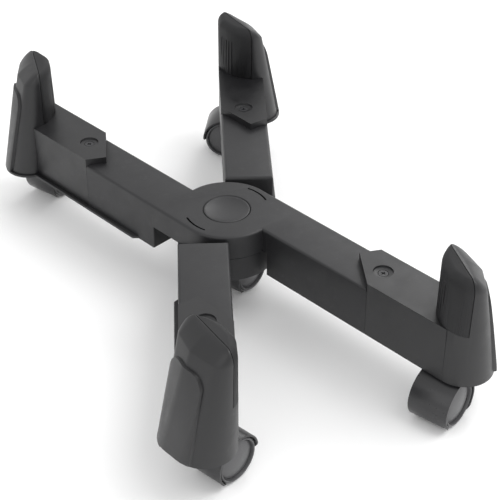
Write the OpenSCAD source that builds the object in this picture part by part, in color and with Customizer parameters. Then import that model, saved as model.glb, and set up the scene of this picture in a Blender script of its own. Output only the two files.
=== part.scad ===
// Mobile stand for a computer case: two crossed arms on a hub, four corner posts
// with grip pads, and five swivelling twin-wheel casters.
// Origin: on the floor, under the hub axis. X is the width of the case, Y its length.

/* [Arms] */
// Radius of the two hub discs, and width of each arm
hub_r = 44; // [42:1:46]
// Angle of each arm from the long axis of the stand
arm_angle = 21; // [18:1:24]
// Height of the arms' top face above the floor
arm_top = 90; // [88:1:94]
// Depth of each hub half
half_depth = 23; // [22:0.5:24]
// Wall thickness of the mouldings
wall = 2.8; // [2.4:0.2:3.2]
// Radius of the arms' top edges
edge_r = 2.7; // [2:0.1:3.2]
// Distance from the hub axis to the end wall of the deep part of an arm
notch_x = 49; // [48:1:51]

/* [Posts] */
// Distance of the post screw from the hub axis, along the arm
screw_x = 162; // [160:1:166]
// Height of the nose plate above the arm
nose_h = 6.5; // [5:0.5:8]
// Height of the post's back lip above the arm
lip_h = 48; // [46:1:50]
// Height of the post's crown above the arm
crown_h = 60; // [58:1:62]
// Depth of a grip pad behind its round face
grip_depth = 13.5; // [12:0.5:14]

/* [Casters] */
// Radius of a wheel
wheel_r = 20; // [19:0.5:20.5]
// Width over the housing
housing_w = 36; // [34:1:38]
// Trail of the axle behind the swivel axis
trail = 16; // [14:1:17]

/* [Hub] */
// Radius of the dished cap
cap_r = 20.6; // [19:0.2:22]
// Radius of the pivot spigot
spigot_r = 16; // [15:0.5:17]

/* [Hidden] */
ENDS = ["front_right", "rear_left", "front_left", "rear_right", "hub"];

$fn = 64;
turns = [arm_angle - 90, arm_angle + 90, -90 - arm_angle, 90 - arm_angle, 0];

gap = 0.2;
// the arms' outer walls run just inside the hub's rim
arm_w = hub_r - 0.3;
hub_bottom = arm_top - 2 * half_depth;
upper_floor = arm_top - half_depth + gap;
lower_top = arm_top - half_depth - gap;
nose_top = arm_top + nose_h;

// hub
rim_wall = 3;
recess_floor = arm_top - 11;
plate = 3;
sleeve_r = spigot_r + 4;
spigot_top = recess_floor - plate - gap;
bolt_r = 4;
slit_r = 37;
slit_w = 1.6;
slit_mid = 17;
slit_span = 39;
travel_close = 32;
travel_open = 8;
lug_half = 4;
stop_reach = lug_half + 2.8;

// arm channel and its tongue inside the post
seam_stepped = 141;
seam_flush = 164;
tongue_end = 192;
tongue_in = wall + gap;
ledge_x = 70;
ledge_out = 4.5;
ledge_h = 2.5;

// corner post plan, in the frame of one arm half
screw_y = hub_r / 2;
grip_c = [253.3, 38.5];
grip_r = 37.6;
end_c = [246.5, 25.8];
end_r = 26;
side_c = [238, 38];
side_r = 22;
seam_turn = -30.2;
seam_p = [214.9, 33.4];
seam_len = 54.6;
back_low = 37.4;
back_high = 17.4;
panel_out = 2.6;
panel_w = 40;
panel_mid = 26.5;
panel_top = arm_top + 35.5;
panel_r = 14;
stem_p = [240, hub_r / 2 + 1.5];

// casters
axle_r = 3;
stem_r = 3.5;
bush_r = 5.5;
socket_deep = 20;
hood_r = wheel_r + 2.6;
hood_in = wheel_r + 1;
web_half = 5;
wheel_in = web_half + 0.6;
wheel_out = housing_w / 2 - 0.5;
skirt_low = 2.2;
tip_low = wheel_r - 3.6;
// rest direction of each caster's trail, and which one has its long skirt on the trailing side
trail_turn = [-151, 30, 25, 150, 28];
long_trail = [true, false, false, false, false];

function is_upper(i) = i < 2;

// puts a shape drawn for one arm half on its own half; the lower arm's halves are mirrored
module at_end(i) rotate(turns[i]) mirror([0, is_upper(i) ? 0 : 1, 0]) children();

// outline across an arm: square below, rounded along both top edges
module arm_section(y0, y1, z0, z1, r) {
    translate([y0, z0]) square([y1 - y0, z1 - z0 - r]);
    translate([y0 + r, z0]) square([y1 - y0 - 2 * r, z1 - z0]);
    for (y = [y0 + r, y1 - r]) translate([y, z1 - r]) circle(r);
}

// the same outline drawn out along the arm, from x0 to x1
module arm_bar(x0, x1, y0, y1, z0, z1, r)
    translate([x0, 0, 0]) rotate([90, 0, 90])
        linear_extrude(x1 - x0) arm_section(y0, y1, z0, z1, r);

module box(x0, x1, y0, y1, z0, z1) translate([x0, y0, z0]) cube([x1 - x0, y1 - y0, z1 - z0]);

module tube(r_out, r_in, z0, z1)
    translate([0, 0, z0]) difference() {
        cylinder(r = r_out, h = z1 - z0);
        translate([0, 0, -1]) cylinder(r = r_in, h = z1 - z0 + 2);
    }

// ---------------------------------------------------------------- hub

module upper_disc()
    rotate(turns[0] + 40) rotate_extrude() {
        difference() {
            translate([0, upper_floor]) square([hub_r, arm_top - upper_floor]);
            translate([sleeve_r, upper_floor - 1])
                square([hub_r - rim_wall - sleeve_r, arm_top - upper_floor - wall + 1]);
            translate([-1, recess_floor]) square([cap_r + 0.3 + 1, 20]);
            translate([-1, upper_floor - 1]) square([spigot_r + 0.05 + 1, recess_floor - plate - upper_floor + 1]);
            translate([-1, 0]) square([bolt_r + 0.3 + 1, 200]);
        }
        // floor and wall of the cap's recess
        translate([sleeve_r - 1, recess_floor - plate]) square([cap_r + 0.3 + wall - sleeve_r + 1, plate]);
        translate([cap_r + 0.3, recess_floor - plate]) square([wall, arm_top - wall + 1 - recess_floor + plate]);
    }

module arc_slot(r, w, mid, span, z0, z1)
    translate([0, 0, z0]) rotate(mid - span / 2)
        rotate_extrude(angle = span) translate([r - w / 2, 0]) square([w, z1 - z0]);

module stop_ribs()
    for (s = [0, 180]) for (a = [-travel_open - stop_reach, travel_close + stop_reach])
        rotate(slit_mid - (travel_close - travel_open) / 2 + s + a)
            box(cap_r + 1.5, hub_r - 1, -1.2, 1.2, upper_floor + 0.4, arm_top - 1);

module stop_lugs()
    for (s = [0, 180])
        arc_slot(33, 6, slit_mid - (travel_close - travel_open) / 2 + s, 2 * lug_half, lower_top - 1, lower_top + 7);

module lower_disc() {
    rotate(turns[2] - 40) rotate_extrude() difference() {
        union() {
            translate([0, hub_bottom]) square([hub_r, lower_top - hub_bottom]);
            translate([0, hub_bottom]) square([spigot_r, spigot_top - hub_bottom]);
        }
        translate([13, hub_bottom - 1]) square([hub_r - rim_wall - 13, lower_top - hub_bottom - wall + 1]);
        translate([-1, hub_bottom - 1]) square([bush_r + 1, socket_deep + 1]);
        translate([-1, hub_bottom + socket_deep + 2]) square([11.5 + 1, spigot_top - plate - hub_bottom - socket_deep - 2]);
        translate([-1, 0]) square([bolt_r + 0.1 + 1, 200]);
    }
    stop_lugs();
    for (a = [0:60:300]) rotate(a + 20) box(12, hub_r - 1, -1, 1, hub_bottom + 4, lower_top - 1);
}

module hub_cap() color([0.22, 0.22, 0.24])
    difference() {
        translate([0, 0, recess_floor]) cylinder(r = cap_r, h = arm_top - recess_floor - 0.2);
        translate([0, 0, arm_top + 59]) sphere(r = 62, $fn = 120);
        translate([0, 0, recess_floor - 1]) cylinder(r = cap_r - 2, h = 7);
    }

module hub_bolt() color("silver") {
    translate([0, 0, recess_floor + 1.5]) cylinder(r = 7, h = 4);
    translate([0, 0, hub_bottom + socket_deep + 4])
        cylinder(r = bolt_r, h = recess_floor + 2 - hub_bottom - socket_deep - 4);
}

module hub_washer() color("gainsboro") tube(9, bolt_r + 0.1, recess_floor, recess_floor + 1.5);

module hub_nut() color("silver")
    translate([0, 0, spigot_top - plate - 6.5]) difference() {
        cylinder(r = 7.5, h = 6.5, $fn = 6);
        translate([0, 0, -1]) cylinder(r = bolt_r, h = 9);
    }

// ---------------------------------------------------------------- arms

// one half of the upper arm: a shallow neck at the hub, then a deep channel
module upper_half() {
    difference() {
        union() {
            box(0, notch_x + 1, 0, arm_w, upper_floor, arm_top);
            arm_bar(notch_x, seam_flush - gap, 0, arm_w, hub_bottom, arm_top, edge_r);
            arm_bar(seam_stepped, tongue_end, tongue_in, arm_w - tongue_in, hub_bottom + 5, arm_top - 0.05, 0.5);
            box(hub_r + 1.2, notch_x + 1, 0, wall, hub_bottom, upper_floor + 1);
        }
        // inside of the channel
        arm_bar(0, notch_x + 3, wall, arm_w - wall, upper_floor - 1, arm_top - wall, 1);
        arm_bar(notch_x + 3 + wall, tongue_end + 1, tongue_in + wall, arm_w - tongue_in - wall,
            hub_bottom - 1, arm_top - wall, 1);
        box(notch_x - 1, notch_x + 3, wall, arm_w - wall, hub_bottom - 1, upper_floor);
        channel_cuts();
    }
    channel_ribs();
    arm_ledge();
}

// one half of the lower arm: the neck runs below the upper disc
module lower_half() {
    difference() {
        union() {
            box(0, notch_x + 1, 0, arm_w, hub_bottom, lower_top);
            arm_bar(notch_x, seam_flush - gap, 0, arm_w, hub_bottom, arm_top, edge_r);
            arm_bar(seam_stepped, tongue_end, tongue_in, arm_w - tongue_in, hub_bottom + 5, arm_top - 0.05, 0.5);
        }
        box(-1, notch_x + wall, wall, arm_w - wall, hub_bottom - 1, lower_top - wall);
        arm_bar(notch_x + wall, tongue_end + 1, tongue_in + wall, arm_w - tongue_in - wall,
            hub_bottom - 1, arm_top - wall, 1);
        channel_cuts();
    }
    channel_ribs();
    arm_ledge();
}

// room for the post's own walls round the tongue, and the screw's hole
module channel_cuts() {
    box(seam_stepped, tongue_end + 1, arm_w - tongue_in, arm_w + 1, hub_bottom - 1, arm_top + 1);
    box(seam_flush - gap, tongue_end + 1, -1, tongue_in, hub_bottom - 1, arm_top + 1);
    translate([screw_x, screw_y, arm_top - 20]) cylinder(r = 2, h = 30);
}

// cross ribs inside the channel, and the boss that takes the post's screw
module channel_ribs() {
    for (x = [72, 96, 120])
        box(x, x + 1.8, wall - 0.5, arm_w - wall + 0.5, hub_bottom + 14, arm_top - wall + 0.5);
    translate([screw_x, screw_y, 0]) tube(4.5, 2, arm_top - 16, arm_top - wall + 0.5);
    for (s = [-1, 1]) translate([screw_x, screw_y, 0])
        box(s > 0 ? 4 : -14, s > 0 ? 14 : -4, -0.9, 0.9, arm_top - 12, arm_top - wall + 0.5);
}

module arm_ledge()
    translate([0, 0, hub_bottom]) linear_extrude(ledge_h)
        polygon([[ledge_x, arm_w - 1], [ledge_x, arm_w], [ledge_x + ledge_out, arm_w + ledge_out],
            [seam_stepped - gap, arm_w + ledge_out], [seam_stepped - gap, arm_w - 1]]);

module upper_arm() color([0.2, 0.2, 0.22])
    difference() {
        union() {
            for (i = [0, 1]) at_end(i) difference() {
                upper_half();
                translate([0, 0, -1]) cylinder(r = hub_r - 1, h = 200);
            }
            upper_disc();
            stop_ribs();
        }
        for (s = [0, 180]) arc_slot(slit_r, slit_w, slit_mid + s, slit_span, arm_top - 8, arm_top + 1);
    }

module lower_arm() color([0.2, 0.2, 0.22]) {
    for (i = [2, 3]) at_end(i) difference() {
        lower_half();
        translate([0, 0, -1]) cylinder(r = hub_r - 1, h = 200);
    }
    lower_disc();
}

// ---------------------------------------------------------------- corner posts

// plan of a post; g makes it larger or smaller all round
module post_plan(g) {
    translate(end_c) circle(end_r + g);
    translate(side_c) circle(side_r + g);
    translate([216 - g, -g]) square([28 + g, arm_w + 2 * g]);
}

// frame of the flat face behind the grip: x runs along the seam, y towards the back
module at_seam() translate([seam_p.x, seam_p.y, 0]) rotate(seam_turn) children();

// leaning back and rounded crown, seen along the seam
module post_side(g) at_seam() translate([-60, 0, 0]) rotate([90, 0, 90]) linear_extrude(180)
    translate([g, 0]) polygon([[-90, hub_bottom - 1], [back_low, hub_bottom - 1], [back_high, arm_top + lip_h - 2],
        [back_high - 3.5, arm_top + crown_h - 7], [back_high - 9, arm_top + crown_h - 1.5],
        [-1, arm_top + crown_h], [-90, arm_top + crown_h - 3]]);

// arched outline seen across the seam
module post_arch(g) {
    r = 13;
    x0 = -4.6 - g;
    x1 = seam_len + 2.6 + g;
    high = arm_top + crown_h + g;
    at_seam() translate([0, 90, 0]) rotate([90, 0, 0]) linear_extrude(180) {
        translate([x0, 0]) square([x1 - x0, high - r]);
        translate([x0 + r, 0]) square([x1 - x0 - 2 * r, high]);
        for (x = [x0 + r, x1 - r]) translate([x, high - r]) circle(r);
    }
}

module post_body(g, z0) intersection() {
    translate([0, 0, z0]) linear_extrude(arm_top + crown_h + 10 - z0) post_plan(g);
    post_side(g);
    post_arch(g);
}

module nose_plan() polygon([[131, 27.5], [seam_stepped, arm_w], [228, arm_w], [228, 0], [seam_flush, 0]]);

// back panel: stands proud of the leaning back inside an arched outline
module back_panel() intersection() {
    translate([0, 0, hub_bottom + 2]) linear_extrude(120) post_plan(panel_out);
    post_side(panel_out);
    at_seam() translate([panel_mid, 60, 0]) rotate([90, 0, 0]) linear_extrude(52) {
        translate([-panel_w / 2, 0]) square([panel_w, panel_top - panel_r]);
        translate([panel_r - panel_w / 2, 0]) square([panel_w - 2 * panel_r, panel_top]);
        for (s = [-1, 1]) translate([s * (panel_w / 2 - panel_r), panel_top - panel_r]) circle(panel_r);
    }
}

module post(i) color([0.19, 0.19, 0.21]) at_end(i) {
    difference() {
        union() {
            post_body(0, hub_bottom);
            back_panel();
            translate([0, 0, arm_top]) linear_extrude(nose_h) nose_plan();
            box(seam_stepped, 228, arm_w - wall, arm_w, hub_bottom, arm_top + 1);
            box(seam_flush, 228, 0, wall, hub_bottom, arm_top + 1);
            // ledge along the stepped side, and its lip round the post
            box(seam_stepped, 228, arm_w - 1, arm_w + ledge_out, hub_bottom, hub_bottom + ledge_h);
            intersection() {
                translate([side_c.x, side_c.y, hub_bottom]) cylinder(r = side_r + 2.4, h = ledge_h);
                box(210, 247, arm_w - 1, 80, 0, 100);
            }
        }
        // room for the grip
        at_seam() box(-60, 110, -80, 0, nose_top, arm_top + 100);
        // hollow inside, behind the grip and under the nose
        intersection() {
            post_body(-wall, hub_bottom - 0.5);
            at_seam() box(-60, 110, wall, 60, 0, 200);
        }
        intersection() {
            post_body(-wall, hub_bottom - 0.5);
            box(200, 300, -10, 90, 0, arm_top - wall);
        }
        box(seam_stepped - 1, 222, wall, arm_w - wall, hub_bottom - 1, arm_top);
        box(tongue_end + 1, 222, wall, arm_w - wall, hub_bottom - 1, nose_top - wall);
        // screw hole and its counterbore
        translate([screw_x, screw_y, arm_top - 1]) cylinder(r = 2.3, h = 20);
        translate([screw_x, screw_y, nose_top - 4.5]) cylinder(r = 4.7, h = 20);
        translate([screw_x, screw_y, nose_top - 1.6]) cylinder(r = 8.4, h = 20);
    }
    // boss for the caster's bush, with its ribs
    translate([stem_p.x, stem_p.y, 0]) tube(8.5, bush_r, hub_bottom + 1, hub_bottom + 22);
    intersection() {
        post_body(-wall + 0.5, hub_bottom);
        translate([stem_p.x, stem_p.y, 0]) for (a = [30:90:300]) rotate(a)
            box(8, 40, -1, 1, hub_bottom + 8, hub_bottom + 20);
    }
}

module grip(i) color([0.16, 0.16, 0.17]) at_end(i)
    difference() {
        intersection() {
            translate([grip_c.x, grip_c.y, nose_top]) cylinder(r = grip_r, h = 80);
            at_seam() box(0.4, seam_len - 0.2, -grip_depth - 3, 0, nose_top, arm_top + 100);
            post_side(0);
            post_arch(0);
        }
        // fine upright ribs on the face towards the case
        for (a = [226:5:246]) translate([grip_c.x, grip_c.y, 0]) rotate(a)
            translate([grip_r + 0.15, 0, 0]) cylinder(r = 0.7, h = arm_top + 48, $fn = 16);
    }

module post_screw() {
    translate([screw_x, screw_y, arm_top + nose_h - 4.5]) difference() {
        cylinder(r = 4.2, h = 2.6);
        for (a = [0, 90]) rotate(a) translate([-2.2, -0.5, 1.2]) cube([4.4, 1, 3]);
    }
    translate([screw_x, screw_y, arm_top - 15]) cylinder(r = 2, h = 15 + nose_h - 4);
}

// ---------------------------------------------------------------- casters

module at_stem(i) {
    if (i < 4) at_end(i) translate([stem_p.x, stem_p.y, 0]) children();
    else children();
}

// the turn of a caster is given in the stand's frame, so the arm's own turn is taken out first
module at_caster(i) {
    p = i < 4 ? end_point(i) : [0, 0];
    translate([p.x, p.y, 0]) rotate(trail_turn[i]) children();
}

function end_point(i) =
    let (y = is_upper(i) ? stem_p.y : -stem_p.y, a = turns[i])
    [stem_p.x * cos(a) - y * sin(a), stem_p.x * sin(a) + y * cos(a)];

module socket(i) color("dimgray") at_stem(i) {
    tube(bush_r, stem_r + 0.05, hub_bottom + 0.1, hub_bottom + socket_deep);
    tube(7.5, stem_r + 0.05, hub_bottom - 0.8, hub_bottom);
}

module stem(i) color("silver") at_caster(i) {
    translate([0, 0, wheel_r + 6]) cylinder(r = stem_r, h = hub_bottom + socket_deep - 2 - wheel_r - 6);
}

// turns a profile drawn in x and z about the axle into a wheel-wide shape along y
module along_axle(y0, y1) translate([trail, y1, wheel_r]) rotate([90, 0, 0]) linear_extrude(y1 - y0) children();

// arched hood from the long skirt over the top to the short tip
module hood(long) {
    w = housing_w / 2;
    along_axle(-w, w) difference() {
        circle(hood_r);
        circle(hood_in);
        translate([-60, -60]) square([120, 60 - wheel_r + skirt_low]);
        if (!long) translate([0, -60]) square([60, 60 - wheel_r + tip_low]);
    }
}

module housing(i) color([0.2, 0.2, 0.21]) at_caster(i)
    difference() {
        union() {
            hood(long_trail[i]);
            // web between the wheels
            along_axle(-web_half, web_half) difference() {
                circle(hood_in + 0.5);
                translate([-60, -60]) square([120, 60 - wheel_r + 9]);
            }
            // boss round the stem, clear of the wheels below it
            difference() {
                translate([0, 0, wheel_r + 10]) cylinder(r = 7, h = hub_bottom - 1.2 - wheel_r - 10);
                along_axle(-20, 20) circle(hood_in + 0.7);
            }
        }
        translate([0, 0, wheel_r + 6]) cylinder(r = stem_r, h = 60);
        along_axle(-10, 10) circle(axle_r);
    }

module axle(i) color("silver") at_caster(i) along_axle(2.5 - wheel_out, wheel_out - 2.5) circle(axle_r);

// one wheel: rounded tread, dished inner side, domed outer face with a rim groove
module wheel(i, side) color([0.3, 0.3, 0.31]) at_caster(i)
    translate([trail, 0, wheel_r]) rotate([-90 * side, 0, 0]) rotate_extrude($fn = 96) difference() {
        union() {
            translate([0, wheel_in]) square([wheel_r - 2, wheel_out - 2 - wheel_in]);
            translate([0, wheel_in + 1.2]) square([wheel_r, wheel_out - 3.4 - wheel_in]);
            translate([wheel_r - 1.2, wheel_in + 1.2]) circle(1.2);
            translate([0, wheel_out - 3.4]) square([wheel_r - 2.2, 2.2]);
            translate([wheel_r - 2.2, wheel_out - 2.2]) circle(2.2);
            intersection() {
                translate([0, wheel_out - 62]) circle(62, $fn = 180);
                translate([0, wheel_out - 3.4]) square([wheel_r - 2.6, 6]);
            }
        }
        translate([-1, -1]) square([axle_r + 0.05 + 1, wheel_out - 2.4 + 1]);
        translate([7, wheel_in - 1]) square([wheel_r - 10.5, 6]);
        translate([-30, -30]) square([30, 90]);
    }

// ---------------------------------------------------------------- assembly

upper_arm();
lower_arm();
hub_cap();
hub_bolt();
hub_washer();
hub_nut();
color("silver") for (i = [0, 1]) at_end(i) post_screw();  // post_screws_upper
color("silver") for (i = [2, 3]) at_end(i) post_screw();  // post_screws_lower
for (i = [0:3]) {
    post(i);
    grip(i);
}
for (i = [0:4]) {
    socket(i);
    housing(i);
    stem(i);
    axle(i);
    wheel(i, 1);
    wheel(i, -1);
}
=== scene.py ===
import bpy, math
from mathutils import Vector, Matrix


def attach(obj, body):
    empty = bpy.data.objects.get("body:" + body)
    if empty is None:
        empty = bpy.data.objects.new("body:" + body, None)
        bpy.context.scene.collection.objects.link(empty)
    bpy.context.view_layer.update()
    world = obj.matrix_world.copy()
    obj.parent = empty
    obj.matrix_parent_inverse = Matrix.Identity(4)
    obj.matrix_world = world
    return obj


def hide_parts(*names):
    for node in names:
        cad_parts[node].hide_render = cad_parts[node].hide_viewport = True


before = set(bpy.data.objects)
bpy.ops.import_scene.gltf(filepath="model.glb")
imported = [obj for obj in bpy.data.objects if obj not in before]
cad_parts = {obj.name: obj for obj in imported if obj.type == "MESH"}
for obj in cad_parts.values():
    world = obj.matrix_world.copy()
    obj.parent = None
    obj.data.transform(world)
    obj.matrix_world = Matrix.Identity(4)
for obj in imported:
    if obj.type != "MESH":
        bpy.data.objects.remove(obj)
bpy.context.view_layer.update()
mm = 0.001

# ends of the stand: turn of the arm half, body, and whether it is a mirrored half
ends = {
    "front_right": {"turn": -69, "body": "upper_arm", "mirrored": False, "trail": -151, "longTip": True},
    "rear_left": {"turn": 111, "body": "upper_arm", "mirrored": False, "trail": 30, "longTip": False},
    "front_left": {"turn": -111, "body": "lower_arm", "mirrored": True, "trail": 25, "longTip": False},
    "rear_right": {"turn": 69, "body": "lower_arm", "mirrored": True, "trail": 150, "longTip": False},
    "hub": {"turn": 0, "body": "lower_arm", "mirrored": False, "trail": 28, "longTip": False},
}
stemAt = (240, 23.5)  # swivel axis along and across an arm half


# ---- modelling helpers: all lengths are in millimetres

def deselect():
    if bpy.context.object and bpy.context.object.mode != "OBJECT":
        bpy.ops.object.mode_set(mode="OBJECT")
    bpy.ops.object.select_all(action="DESELECT")


def pick(obj):
    deselect()
    obj.select_set(True)
    bpy.context.view_layer.objects.active = obj


def editAll(obj):
    pick(obj)
    bpy.ops.object.mode_set(mode="EDIT")
    bpy.ops.mesh.select_mode(type="VERT")
    bpy.ops.mesh.select_all(action="SELECT")


def done():
    bpy.ops.object.mode_set(mode="OBJECT")


def outward(obj):
    editAll(obj)
    bpy.ops.mesh.remove_doubles(threshold=2e-6)
    bpy.ops.mesh.normals_make_consistent(inside=False)
    done()


def applyPlace(obj):
    pick(obj)
    bpy.ops.object.transform_apply(location=True, rotation=True, scale=True)


# a line of points drawn by extruding one vertex from point to point
def drawLine(name, points):
    deselect()
    first = Vector(points[0]) * mm
    bpy.ops.mesh.primitive_plane_add(size=0.001, location=first)
    obj = bpy.context.object
    obj.name = name
    applyPlace(obj)
    editAll(obj)
    bpy.ops.mesh.merge(type="CENTER")
    last = first
    for p in points[1:]:
        here = Vector(p) * mm
        bpy.ops.mesh.extrude_vertices_move(TRANSFORM_OT_translate={"value": here - last})
        last = here
    return obj


# flat outline pushed along a direction into a solid
def prism(name, points, push):
    obj = drawLine(name, points)
    bpy.ops.mesh.select_all(action="SELECT")
    bpy.ops.mesh.edge_face_add()
    bpy.ops.mesh.extrude_region_move(TRANSFORM_OT_translate={"value": Vector(push) * mm})
    done()
    outward(obj)
    return obj


def upright(name, plan, low, high):
    return prism(name, [(x, y, low) for x, y in plan], (0, 0, high - low))


# profile of (radius, height) pairs spun about the Z axis
def lathe(name, profile, steps=72):
    obj = drawLine(name, [(r, 0, h) for r, h in profile])
    bpy.ops.mesh.select_all(action="SELECT")
    bpy.ops.mesh.spin(steps=steps, angle=math.tau, center=(0, 0, 0), axis=(0, 0, 1))
    done()
    outward(obj)
    return obj


# changes a piece by another one, which is used up
def boolean(obj, other, operation):
    pick(obj)
    mod = obj.modifiers.new("bool", "BOOLEAN")
    mod.operation, mod.solver, mod.object = operation, "EXACT", other
    bpy.ops.object.modifier_apply(modifier=mod.name)
    bpy.data.objects.remove(other)


def cut(obj, other):
    boolean(obj, other, "DIFFERENCE")


def common(obj, other):
    boolean(obj, other, "INTERSECT")


def unite(obj, other):
    boolean(obj, other, "UNION")


def softenEdges(obj, width, segments=3, angle=35):
    pick(obj)
    mod = obj.modifiers.new("bevel", "BEVEL")
    mod.width, mod.segments, mod.limit_method = width * mm, segments, "ANGLE"
    mod.angle_limit, mod.miter_outer = math.radians(angle), "MITER_ARC"
    bpy.ops.object.modifier_apply(modifier=mod.name)


# selects edges whose middle, direction and neighbouring face normals pass the test
def pickEdges(obj, test):
    pick(obj)
    mesh = obj.data
    around = {}
    for face in mesh.polygons:
        for key in face.edge_keys:
            around.setdefault(key, []).append(face.normal.copy())
    for items in (mesh.vertices, mesh.edges, mesh.polygons):
        items.foreach_set("select", [False] * len(items))
    for edge in mesh.edges:
        a, b = (mesh.vertices[i].co for i in edge.vertices)
        edge.select = bool(test((a + b) / (2 * mm), (b - a) / mm, around.get(edge.key, [])))
    bpy.ops.object.mode_set(mode="EDIT")
    bpy.ops.mesh.select_mode(type="EDGE")


def pickFaces(obj, test):
    pick(obj)
    mesh = obj.data
    for items in (mesh.vertices, mesh.edges, mesh.polygons):
        items.foreach_set("select", [False] * len(items))
    for face in mesh.polygons:
        face.select = bool(test(face.center / mm, face.normal))
    bpy.ops.object.mode_set(mode="EDIT")
    bpy.ops.mesh.select_mode(type="FACE")


def bevelEdges(obj, test, width, segments=4):
    pickEdges(obj, test)
    bpy.ops.mesh.bevel(offset=width * mm, segments=segments, affect="EDGES", clamp_overlap=True)
    bpy.ops.mesh.select_mode(type="VERT")
    done()


def joinInto(obj, *others):
    pick(obj)
    for other in others:
        other.select_set(True)
    bpy.ops.object.join()
    return obj


def smoothShade(obj):
    pick(obj)
    bpy.ops.object.shade_smooth_by_angle(angle=math.radians(32))


def copyOf(obj, name):
    twin = obj.copy()
    twin.data = obj.data.copy()
    twin.name = name
    bpy.context.collection.objects.link(twin)
    return twin


# a copy of a piece drawn for one arm half, on its own half
def onHalf(obj, name, end):
    twin = copyOf(obj, name)
    twin.rotation_euler.z = math.radians(ends[end]["turn"])
    if ends[end]["mirrored"]:
        twin.scale.y = -1
    applyPlace(twin)
    outward(twin)
    smoothShade(twin)
    return twin


# a copy of a piece drawn for a caster trailing along +X, at its own stem
def onStem(obj, name, end):
    twin = copyOf(obj, name)
    side = -stemAt[1] if ends[end]["mirrored"] else stemAt[1]
    place = Vector((stemAt[0], side, 0)) * mm if end != "hub" else Vector((0, 0, 0))
    twin.location = Matrix.Rotation(math.radians(ends[end]["turn"]), 3, "Z") @ place
    twin.rotation_euler.z = math.radians(ends[end]["trail"])
    applyPlace(twin)
    smoothShade(twin)
    return twin


def finish(obj, body, slot, material, *nodes):
    obj.data.materials.clear()
    obj.data.materials.append(material)
    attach(obj, body)
    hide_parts(*nodes)


def arc(cx, cy, r, start, stop, steps):
    return [(cx + r * math.cos(math.radians(start + (stop - start) * i / steps)),
             cy + r * math.sin(math.radians(start + (stop - start) * i / steps))) for i in range(steps + 1)]


# outline drawn tight round a set of points
def wrap(points):
    pts = sorted(set((round(x, 4), round(y, 4)) for x, y in points))

    def side(seq):
        chain = []
        for p in seq:
            while len(chain) > 1 and ((chain[-1][0] - chain[-2][0]) * (p[1] - chain[-2][1])
                                      - (chain[-1][1] - chain[-2][1]) * (p[0] - chain[-2][0])) <= 0:
                chain.pop()
            chain.append(p)
        return chain[:-1]

    return side(pts) + side(pts[::-1])


# ---- materials

class Value:
    def __init__(self, tree, socket):
        self.tree, self.socket = tree, socket

    def maths(self, operation, other, swapped=False):
        a, b = (other, self) if swapped else (self, other)
        return self.tree.node("ShaderNodeMath", {"operation": operation}, {0: a, 1: b})

    def __add__(self, other): return self.maths("ADD", other)
    def __radd__(self, other): return self.maths("ADD", other)
    def __sub__(self, other): return self.maths("SUBTRACT", other)
    def __rsub__(self, other): return self.maths("SUBTRACT", other, True)
    def __mul__(self, other): return self.maths("MULTIPLY", other)
    def __rmul__(self, other): return self.maths("MULTIPLY", other)


class Finish:
    def __init__(self, name):
        self.material = bpy.data.materials.new(name)
        self.material.use_nodes = True
        self.nodes = self.material.node_tree.nodes
        self.links = self.material.node_tree.links
        self.shader = self.nodes["Principled BSDF"]
        self.place = self.node("ShaderNodeTexCoord", output="Object")

    def node(self, kind, settings=None, inputs=None, output=0):
        made = self.nodes.new(kind)
        for key, value in (settings or {}).items():
            if key == "stops":
                ramp = made.color_ramp.elements
                while len(ramp) < len(value):
                    ramp.new(0.5)
                for element, (position, colour) in zip(ramp, value):
                    element.position, element.color = position, (*colour, 1)
            else:
                setattr(made, key, value)
        for key, value in (inputs or {}).items():
            self.put(made.inputs[key], value)
        return Value(self, made.outputs[output])

    def put(self, socket, value):
        if isinstance(value, Value):
            self.links.new(value.socket, socket)
        else:
            socket.default_value = value

    def set(self, name, value):
        self.put(self.shader.inputs[name], value)

    def noise(self, scale, detail=3, roughness=0.5):
        return self.node("ShaderNodeTexNoise", {}, {"Vector": self.place, "Scale": scale, "Detail": detail,
                                                    "Roughness": roughness})

    def ramp(self, value, low, high, dark, light):
        return self.node("ShaderNodeValToRGB", {"stops": [(low, dark), (high, light)]}, {"Fac": value})

    def span(self, value, low, high, outLow, outHigh):
        return self.node("ShaderNodeMapRange", {}, {"Value": value, "From Min": low, "From Max": high,
                                                    "To Min": outLow, "To Max": outHigh})

    def bump(self, height, strength, distance):
        self.set("Normal", self.node("ShaderNodeBump", {}, {"Height": height, "Strength": strength,
                                                            "Distance": distance}))


# moulded plastic: fine spark-eroded grain, slow colour drift, patchy sheen, faint rubs
def mouldedPlastic(name, tone, rough, grain=0.35):
    f = Finish(name)
    drift = f.noise(14, 2)
    patch = f.noise(55, 4)
    fine = f.noise(1500, 2, 0.6)
    pits = f.node("ShaderNodeTexVoronoi", {"feature": "F1"}, {"Vector": f.place, "Scale": 1200})
    rubs = f.span(f.noise(160, 5, 0.7), 0.56, 0.72, 0, 1)
    dark = tuple(c * 0.88 for c in tone)
    light = tuple(c * 1.14 for c in tone)
    f.set("Base Color", f.ramp(drift * 0.55 + patch * 0.3 + fine * 0.15, 0.36, 0.66, dark, light))
    f.set("Roughness", f.span(patch, 0.3, 0.7, rough - 0.05, rough + 0.05) - rubs * 0.1)
    f.bump(fine * 0.6 + pits * 0.4, grain, 0.00012)
    return f.material


# soft grip face: matt, faintly clouded, with a little dust
def rubberFace(name, tone):
    f = Finish(name)
    cloud = f.noise(30, 3)
    fine = f.noise(2400, 2)
    dust = f.span(f.noise(90, 5, 0.65), 0.5, 0.75, 0, 1)
    f.set("Base Color", f.ramp(cloud * 0.7 + dust * 0.3, 0.3, 0.75, tuple(c * 0.85 for c in tone),
                               tuple(c * 1.3 for c in tone)))
    f.set("Roughness", f.span(cloud, 0.3, 0.7, 0.58, 0.7))
    f.set("Specular IOR Level", 0.4)
    f.bump(fine, 0.3, 0.0001)
    return f.material


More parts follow.
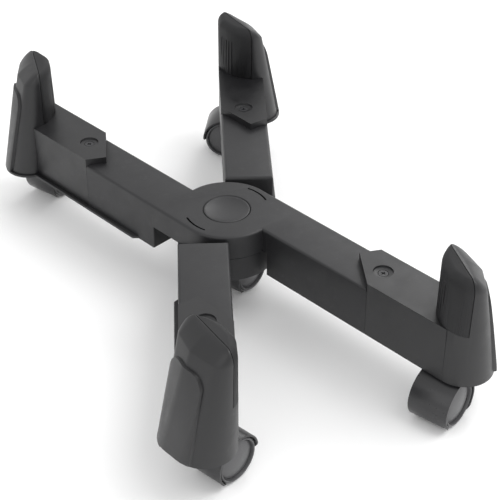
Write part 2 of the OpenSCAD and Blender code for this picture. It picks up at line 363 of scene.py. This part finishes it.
# wheels: smooth plastic with scuffs
def wheelPlastic(name, tone):
    f = Finish(name)
    cloud = f.noise(60, 3)
    scuff = f.span(f.noise(420, 6, 0.75), 0.55, 0.7, 0, 1)
    f.set("Base Color", f.ramp(cloud * 0.6 + scuff * 0.4, 0.3, 0.8, tuple(c * 0.88 for c in tone),
                               tuple(c * 1.35 for c in tone)))
    f.set("Roughness", f.span(cloud, 0.3, 0.7, 0.3, 0.4) + scuff * 0.12)
    f.bump(f.noise(900, 3), 0.12, 0.0001)
    return f.material


# plated steel: fine lines drawn round the axis
def platedSteel(name, tone, rough):
    f = Finish(name)
    streak = f.node("ShaderNodeMapping", {}, {"Vector": f.place, "Scale": (300, 300, 4000)})
    lines = f.node("ShaderNodeTexNoise", {}, {"Vector": streak, "Scale": 1, "Detail": 3})
    f.set("Base Color", f.ramp(lines, 0.3, 0.7, tuple(c * 0.85 for c in tone), tone))
    f.set("Metallic", 1.0)
    f.set("Roughness", f.span(lines, 0.3, 0.7, rough - 0.06, rough + 0.08))
    f.bump(lines, 0.08, 0.00005)
    return f.material


looks = {
    "arm": mouldedPlastic("armPlastic", (0.0125, 0.0125, 0.0138), 0.5),
    "post": mouldedPlastic("postPlastic", (0.0095, 0.0095, 0.0105), 0.4),
    "cap": mouldedPlastic("capPlastic", (0.018, 0.018, 0.0195), 0.44, grain=0.2),
    "grip": rubberFace("gripRubber", (0.0095, 0.0095, 0.0105)),
    "bush": mouldedPlastic("bushPlastic", (0.05, 0.05, 0.052), 0.5, grain=0.15),
    "caster": mouldedPlastic("casterPlastic", (0.022, 0.022, 0.0235), 0.33, grain=0.12),
    "wheel": wheelPlastic("wheelPlastic", (0.085, 0.085, 0.088)),
    # post screws: a near-black tone, which keeps their seat holes dark
    "darkScrewTone": mouldedPlastic("darkScrewTone", (0.02, 0.02, 0.022), 0.4, grain=0.1),
    "zinc": platedSteel("zincSteel", (0.62, 0.63, 0.65), 0.34),
    "bright": platedSteel("brightSteel", (0.58, 0.59, 0.6), 0.28),
}
print("materials made")

# ---- arms

armShape = {
    "hubRadius": 44, "outer": 43.8, "notch": 49, "flushEnd": 163.8, "steppedEnd": 140.8,
    "top": 90, "bottom": 44, "upperFloor": 67.2, "lowerTop": 66.8, "edge": 2.7, "corner": 1.2, "wall": 2.8,
    "ledgeStart": 70, "ledgeOut": 48.2, "ledgeTop": 46.5, "ribs": (72, 96, 120), "ribWide": 1.8,
    "ribLow": 58, "ribTop": 88,
}


# the arm seen from above: two halves whose necks run into the hub disc
def armOutline():
    s = armShape
    lead = math.degrees(math.acos(s["outer"] / s["hubRadius"]))
    half = [(s["flushEnd"], 0), (s["steppedEnd"], s["outer"])]
    half += arc(0, 0, s["hubRadius"], 90 - lead, 180, 30)
    return half + [(-x, -y) for x, y in half]


def makeArm(name, upper):
    s = armShape
    low, high = (s["upperFloor"], s["top"]) if upper else (s["bottom"], s["lowerTop"])
    arm = upright(name, armOutline(), low, high)
    for x in (s["notch"], -s["notch"]):
        editAll(arm)
        bpy.ops.mesh.bisect(plane_co=(x * mm, 0, 0), plane_no=(1, 0, 0))
        done()
    level, depth = (low, s["bottom"] - low) if upper else (high, s["top"] - high)
    for side in (1, -1):
        pickFaces(arm, lambda c, n: abs(n.z) > 0.9 and abs(c.z - level) < 0.1 and c.x * side > s["notch"])
        bpy.ops.mesh.extrude_region_move(TRANSFORM_OT_translate={"value": (0, 0, depth * mm)})
        done()
    # rounded edges round the top faces
    bevelEdges(arm, lambda c, d, ns: abs(c.z - s["top"]) < 0.05 and len(ns) == 2
               and max(n.z for n in ns) > 0.9 and min(n.z for n in ns) < 0.3, s["edge"], 5)
    # corners of the deep parts' end walls, and the hub neck's ends
    bevelEdges(arm, lambda c, d, ns: abs(d.z) > 10 and abs(abs(c.x) - s["notch"]) < 0.5, s["corner"], 3)
    # open underside of each deep part
    for side in (1, -1):
        pickFaces(arm, lambda c, n: n.z < -0.9 and abs(c.z - s["bottom"]) < 0.1 and c.x * side > s["notch"])
        bpy.ops.mesh.inset(thickness=s["wall"] * mm, depth=0)
        rise = (s["top"] - s["wall"] - s["bottom"]) * mm
        bpy.ops.mesh.extrude_region_move(TRANSFORM_OT_translate={"value": (0, 0, rise)})
        done()
    return arm


# narrow foot along the stepped side
def armLedge(side):
    s = armShape
    start, end, inner, outer, out = s["ledgeStart"], s["steppedEnd"], s["outer"] - 1, s["outer"], s["ledgeOut"]
    plan = [(start, inner), (start, outer), (start + out - outer, out), (end, out), (end, inner)]
    ledge = upright("ledge", [(x * side, y * side) for x, y in plan], s["bottom"], s["ledgeTop"])
    softenEdges(ledge, 0.5, 2)
    return ledge


def armRib(side, x):
    s = armShape
    low, high = 2 * side, (s["outer"] - 1.8) * side
    near, far = x * side, (x + s["ribWide"]) * side
    rib = upright("rib", [(near, low), (far, low), (far, high), (near, high)], s["ribLow"], s["ribTop"])
    softenEdges(rib, 0.3, 2)
    return rib


def halfRing(name, radius, width, start, stop, low, high):
    band = arc(0, 0, radius + width / 2, start, stop, 28) + arc(0, 0, radius - width / 2, stop, start, 28)
    return upright(name, band, low, high)


hubShape = {
    "recessRadius": 20.9, "recessMouth": 21.9, "recessFloor": 79, "mouthLow": 89.2,
    "slitRadius": 37, "slitWidth": 1.7, "slitFloor": 78, "slitMiddle": 17, "slitSpan": 39,
}
h = hubShape

upperArm = makeArm("upperArm", True)
recess = [(0, h["recessFloor"]), (h["recessRadius"], h["recessFloor"]), (h["recessRadius"], h["mouthLow"]),
          (h["recessMouth"], h["mouthLow"] + 1), (h["recessMouth"], 92), (0, 92)]
cut(upperArm, lathe("recess", recess, 96))
for turn in (0, 180):
    start = h["slitMiddle"] - h["slitSpan"] / 2 - ends["front_right"]["turn"] + turn
    cut(upperArm, halfRing("slit", h["slitRadius"], h["slitWidth"], start, start + h["slitSpan"],
                           h["slitFloor"], 95))
lowerArm = makeArm("lowerArm", False)
for arm in (upperArm, lowerArm):
    joinInto(arm, *[armLedge(s) for s in (1, -1)], *[armRib(s, x) for s in (1, -1) for x in armShape["ribs"]])
for arm, end, node in ((upperArm, "front_right", "upper_arm"), (lowerArm, "front_left", "lower_arm")):
    placed = onHalf(arm, node + "Shell", end)
    finish(placed, ends[end]["body"], "arm_plastic", looks["arm"], node)
    bpy.data.objects.remove(arm)
print("arms made")

# radius and height: dished top, rolled rim, skirt, underside
capShape = [(0, 86.9), (4, 87.0), (8, 87.25), (12, 87.75), (15.5, 88.45), (17.6, 89.1),
            (18.5, 89.55), (19.1, 89.75), (19.8, 89.7), (20.3, 89.4), (20.55, 88.8), (20.6, 88.0),
            (20.6, 79), (18.6, 79), (18.6, 84.5), (0, 84.5)]
hubCap = lathe("hubCap", capShape, 96)
smoothShade(hubCap)
finish(hubCap, "upper_arm", "cap_plastic", looks["cap"], "hub_cap")

# ---- corner posts

postShape = {
    "seamPoint": (214.9, 33.4), "seamTurn": -30.2, "seamMiddle": 26.3, "foot": 44, "noseTop": 96.5, "lip": 138,
    "crown": 150, "crownSide": 9, "crownHalf": 31, "frontRound": 8, "frontDepth": 13.5,
    "gripCentre": (253.3, 38.5), "gripRadius": 37.6, "padRadius": 4,
}

# discs (along, across, radius) that the post's outline wraps: at the foot, and level with the back lip
footDiscs = [(246.5, 25.8, 25.8), (238, 38, 22), (246.5, 25.8, 25.8), (246.5, 25.8, 25.8)]
lipDiscs = [(257.6, 11.4, 11.0), (226, 33, 10), (243, 26, 10.4), (246, 11, 10.2)]
planSteps = 120


# plan of post and grip together at a height, one point per direction
def postPlan(height, grow=0.0):
    s = postShape
    share = min(1, (height - s["foot"]) / (s["lip"] - s["foot"]))
    discs = [[a + (b - a) * share for a, b in zip(low, high)] for low, high in zip(footDiscs, lipDiscs)]
    reach = s["gripRadius"] - s["padRadius"]
    for turn in range(200, 272, 6):
        discs.append((s["gripCentre"][0] + reach * math.cos(math.radians(turn)),
                      s["gripCentre"][1] + reach * math.sin(math.radians(turn)), s["padRadius"]))
    # above the back lip the crown rolls in: most at the back, less at the sides and the front
    rise = min(1, max(0, (height - s["lip"]) / (s["crown"] - s["lip"])))
    lift = min(1, max(0, (height - s["crown"] + s["frontRound"]) / s["frontRound"]))
    sides = 1 - s["crownSide"] * (1 - math.sqrt(1 - rise ** 2)) / s["crownHalf"]
    back = (1 - rise) ** 0.6
    front = 1 - s["frontRound"] * (1 - math.sqrt(1 - lift ** 2)) / s["frontDepth"]
    c, n = math.cos(math.radians(s["seamTurn"])), math.sin(math.radians(s["seamTurn"]))
    plan = []
    for i in range(planSteps):
        turn = math.tau * i / planSteps
        x, y, r = max(discs, key=lambda d: d[0] * math.cos(turn) + d[1] * math.sin(turn) + d[2])
        x += (r + grow) * math.cos(turn) - s["seamPoint"][0]
        y += (r + grow) * math.sin(turn) - s["seamPoint"][1]
        u, v = x * c + y * n, y * c - x * n
        u = s["seamMiddle"] + (u - s["seamMiddle"]) * sides
        v *= back if v > 0 else front
        plan.append((s["seamPoint"][0] + u * c - v * n, s["seamPoint"][1] + u * n + v * c))
    return plan


# the form of post and grip together: straight sides to the back lip, then ring by ring over the crown
def postForm(name, rings, grow=0.0):
    foot = postPlan(rings[0], grow)
    obj = upright(name, foot, rings[0], rings[1])
    for low, high in zip(rings[1:], rings[2:]):
        pickFaces(obj, lambda centre, normal: normal.z > 0.9 and centre.z > low - 0.05)
        bpy.ops.mesh.extrude_region_move(TRANSFORM_OT_translate={"value": (0, 0, (high - low) * mm)})
        done()
    plans = {ring: postPlan(ring, grow) for ring in rings}
    for v in obj.data.vertices:
        ring = min(rings, key=lambda r: abs(r * mm - v.co.z))
        near = min(range(planSteps), key=lambda i: math.dist((foot[i][0] * mm, foot[i][1] * mm), v.co.xy))
        v.co.x, v.co.y = plans[ring][near][0] * mm, plans[ring][near][1] * mm
    outward(obj)
    return obj


# a prism drawn across the seam between post and grip, then put in place
def acrossSeam(name, outline, start, length):
    obj = prism(name, [(x, start, z) for x, z in outline], (0, length, 0))
    obj.rotation_euler.z = math.radians(postShape["seamTurn"])
    obj.location = Vector((*postShape["seamPoint"], 0)) * mm
    applyPlace(obj)
    return obj


def archOutline(left, right, high, radius, low):
    outline = [(left, low), (right, low)] + arc(right - radius, high - radius, radius, 0, 90, 12)
    return outline + arc(left + radius, high - radius, radius, 90, 180, 12)


# heights of the form's rings, closer together over the crown
crownRings = [44, 138, 139.2, 140.8, 142.6, 144.4, 146, 147.4, 148.5, 149.3, 149.9]


baseTop, noseLow = 90.5, 89.2


# block above a height along the whole seam, from start to start + length across it
def seamBlock(name, low, start, length):
    return acrossSeam(name, [(-70, low), (110, low), (110, 170), (-70, 170)], start, length)


def makePost():
    s, a = postShape, armShape
    post = postForm("post", crownRings)
    cut(post, seamBlock("gripRoom", s["noseTop"], -90, 90))
    # base and nose plate that close round the arm's end
    base = [(a["flushEnd"] + 0.2, 0.02), (246.2, 0.02), (246.2, 20), (236, a["outer"]),
            (a["steppedEnd"] + 0.2, a["outer"])]
    unite(post, upright("base", base, s["foot"], baseTop))
    nose = [(131, 27.5), (141, 43.8), (226, 43.8), (240, 30), (246, 0.02), (164, 0.02)]
    unite(post, upright("nose", nose, noseLow, s["noseTop"]))
    softenEdges(post, 1.1, 3, 38)
    # hollow underside
    hollow = wrap(arc(246.5, 25.8, 21, 0, 360, 48) + arc(238, 36, 18, 0, 360, 48))
    cut(post, upright("hollow", hollow, s["foot"] - 4, 81))
    cut(post, upright("hollow", [(168, 3), (150, 41), (228, 41), (228, 3)], s["foot"] - 5, 82))
    # screw seat
    seat = [(0, 92), (4.6, 92), (4.6, 94.6), (8.1, 95.0), (8.6, 96.6), (8.6, 99), (0, 99)]
    cut(post, shifted(lathe("seat", seat, 48), 162, 22))
    # ledge round the stepped side and the back
    foot = [(141, 42), (141, 48.2), (214, 48.2)] + arc(238, 38, 24, 154, 66, 20)
    foot += arc(238, 38, 20.5, 66, 160, 20) + [(214, 42)]
    ledge = upright("ledge", foot, s["foot"], s["foot"] + 2.6)
    softenEdges(ledge, 0.7, 2, 40)
    return joinInto(post, ledge)


def shifted(obj, x, y):
    obj.location = Vector((x, y, 0)) * mm
    applyPlace(obj)
    return obj


def makeBackPanel():
    panel = postForm("panel", [44, 138], 2.5)
    common(panel, acrossSeam("arch", archOutline(6.5, 46.5, 125.5, 13, 46.2), 4, 60))
    softenEdges(panel, 1.3, 3, 38)
    return panel


def makeGrip():
    s = postShape
    grip = postForm("grip", crownRings)
    common(grip, seamBlock("front", s["noseTop"] + 0.1, -60, 59.5))
    softenEdges(grip, 0.9, 3, 38)
    for x, y in arc(*s["gripCentre"], s["gripRadius"] + 0.2, 222, 246, 4):
        groove = lathe("groove", [(0, 90), (0.75, 90), (0.75, 133), (0, 135)], 12)
        cut(grip, shifted(groove, x, y))
    return grip


post, panel, grip = makePost(), makeBackPanel(), makeGrip()
joinInto(post, panel)
for end in list(ends)[:4]:
    body = ends[end]["body"]
    finish(onHalf(post, "post_" + end + "Shell", end), body, "post_plastic", looks["post"], "post_" + end)
    finish(onHalf(grip, "grip_" + end + "Face", end), body, "grip_rubber", looks["grip"], "grip_" + end)
bpy.data.objects.remove(post)
bpy.data.objects.remove(grip)
print("posts and grips made")

# ---- casters

casterShape = {"wheel": 20, "trail": 16, "outer": 22.6, "inner": 21, "halfWidth": 18, "skirt": 2.2, "tip": 16.4}


def makeHousing(longTip):
    s = casterShape
    skirt = math.degrees(math.asin((s["skirt"] - 3 - s["wheel"]) / s["outer"]))
    ring = arc(s["trail"], s["wheel"], s["outer"], skirt, 180 - skirt, 56)
    ring += arc(s["trail"], s["wheel"], s["inner"], 180 - skirt, skirt, 56)
    hood = prism("hood", [(x, -s["halfWidth"], z) for x, z in ring], (0, 2 * s["halfWidth"], 0))
    # rounded lower corners of the skirt, and the short rounded tip behind
    w, r, low = s["halfWidth"], 5.5, s["skirt"]
    front = arc(w - r + 0.1, low + r, r, -90, 0, 6) + [(w + 3, 14), (w + 3, 50), (-w - 3, 50), (-w - 3, 14)]
    front += arc(-w + r - 0.1, low + r, r, 180, 270, 6)
    common(hood, prism("skirtTrim", [(-20, y, z) for y, z in front], (90, 0, 0)))
    if not longTip:
        r, low = 8, s["tip"]
        back = [(-25, -5), (25, -5), (25, low + r)] + arc(w - r, low + r, r, 0, -90, 6)
        back += arc(-w + r, low + r, r, -90, -180, 6) + [(-25, low + r)]
        cut(hood, prism("tipTrim", [(s["trail"] + 2, y, z) for y, z in back], (50, 0, 0)))
    softenEdges(hood, 0.7, 2, 40)
    web = arc(s["trail"], s["wheel"], 21.4, -28, 208, 59)
    plate = prism("plate", [(x, -5, z) for x, z in web], (0, 10, 0))
    softenEdges(plate, 0.6, 2, 40)
    boss = lathe("boss", [(0, 30), (4.9, 30), (4.9, 33), (7, 34.5), (7, 41.8), (6.2, 42.8), (0, 42.8)], 48)
    return joinInto(hood, plate, boss)


# radius and distance from the middle: face, groove, rolled rim, tread, inner side, axle hole
wheelProfile = [(0, 17.3), (5, 17.1), (9, 16.65), (12.5, 16.0), (15.2, 15.3), (16.3, 14.95),
                (16.7, 14.3), (17.0, 14.0), (17.3, 14.3), (17.5, 15.9), (17.8, 17.0), (18.3, 17.45),
                (18.8, 17.4), (19.35, 17.0), (19.8, 16.2), (20, 15.1), (20, 7.0), (19.75, 6.2),
                (19.2, 5.75), (18.4, 5.6), (17.1, 5.6), (16.6, 6.1), (16.4, 10.6), (7.3, 10.6),
                (7.0, 6.1), (6.6, 5.6), (3.05, 5.6), (3.05, 15.1), (0, 15.1)]


def makeWheel(side):
    wheel = lathe("wheel", wheelProfile, 96)
    wheel.rotation_euler.x = math.radians(-90 * side)
    wheel.location = Vector((casterShape["trail"], 0, casterShape["wheel"])) * mm
    applyPlace(wheel)
    return wheel


housings = {True: makeHousing(True), False: makeHousing(False)}
wheels = {"left": makeWheel(1), "right": makeWheel(-1)}
for end in ends:
    housing = onStem(housings[ends[end]["longTip"]], "housing_" + end + "Hood", end)
    finish(housing, "caster_" + end, "caster_plastic", looks["caster"], "housing_" + end)
    for side in wheels:
        node = "wheel_" + side + "_" + end
        finish(onStem(wheels[side], node + "Tyre", end), node, "wheel_plastic", looks["wheel"], node)
for spare in [*housings.values(), *wheels.values()]:
    bpy.data.objects.remove(spare)
print("casters made")

# ---- CAD pieces that stay, with their own finishes

kept = {"hub_bolt": "zinc", "hub_washer": "zinc", "hub_nut": "zinc", "post_screws": "darkScrewTone", "stem": "bright",
        "axle": "bright", "socket": "bush"}
for node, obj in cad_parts.items():
    for start, look in kept.items():
        if node.startswith(start):
            obj.data.materials.clear()
            obj.data.materials.append(looks[look])
print("kept pieces finished")

# ---- floor, light and camera

deselect()
bpy.ops.mesh.primitive_plane_add(size=8, location=(0, 0, -0.0002))
floor = bpy.context.object
floor.name = "floor"
paper = Finish("paper")
paper.set("Base Color", paper.ramp(paper.noise(3, 2), 0.3, 0.7, (0.97, 0.97, 0.97), (0.985, 0.985, 0.985)))
paper.set("Roughness", 0.8)
floor.data.materials.append(paper.material)


def areaLight(name, place, aim, size, power):
    bpy.ops.object.light_add(type="AREA", location=place)
    light = bpy.context.object
    light.name = name
    light.data.size, light.data.energy = size, power
    light.rotation_euler = (Vector(aim) - Vector(place)).to_track_quat("-Z", "Y").to_euler()


areaLight("keyLight", (1.0, -0.6, 1.9), (0, 0, 0), 1.4, 20)
areaLight("fillLight", (-1.5, -0.9, 1.3), (0, 0, 0.05), 1.6, 5)
areaLight("backLight", (1.5, 1.3, 1.5), (0.1, 0, 0.05), 1.0, 10)

world = bpy.data.worlds.new("studio")
bpy.context.scene.world = world
world.use_nodes = True
world.node_tree.nodes["Background"].inputs["Color"].default_value = (1, 1, 1, 1)
world.node_tree.nodes["Background"].inputs["Strength"].default_value = 0.95

bpy.ops.object.camera_add(location=(-0.3918, -0.9412, 0.7959))
camera = bpy.context.object
camera.rotation_euler = Vector((0.3242, 0.7369, -0.5932)).to_track_quat("-Z", "Y").to_euler()
camera.data.lens, camera.data.sensor_width = 101.5, 36
bpy.context.scene.camera = camera
bpy.context.scene.view_settings.view_transform = "Standard"
print("stage set")
